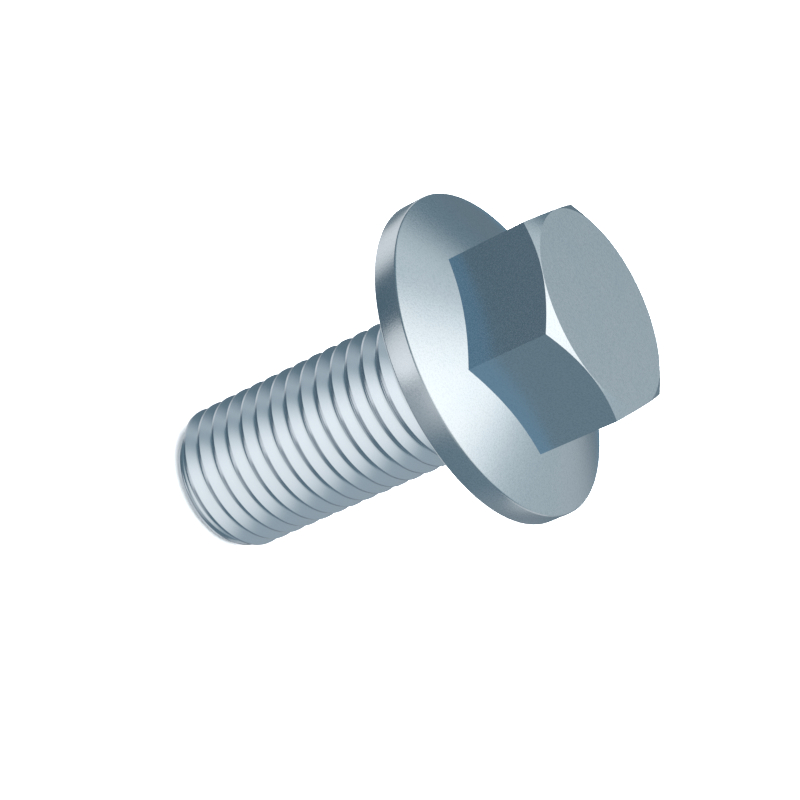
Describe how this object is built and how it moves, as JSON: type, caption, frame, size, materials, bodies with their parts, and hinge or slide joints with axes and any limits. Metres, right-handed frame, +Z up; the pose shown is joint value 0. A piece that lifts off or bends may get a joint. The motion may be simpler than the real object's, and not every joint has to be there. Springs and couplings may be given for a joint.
{
  "type": "flange bolt",
  "caption": "Hexagon head bolt with a broad one-piece flange and a right-hand metric thread over nearly the whole shank, zinc plated.",
  "frame": {"origin": "middle of the flat end of the shank, on the surface that the bolt stands on", "axes": "+Z up the bolt's axis, from the end of the shank to the head; two opposite corners of the hexagon lie along X"},
  "size_m": [0.0344, 0.0344, 0.0493],
  "materials": {
    "zinc_plated_steel": "satin bright zinc plate with a faint blue passivation"
  },
  "bodies": {
    "root": {"flange_bolt": "zinc_plated_steel"}
  },
  "joints": []
}
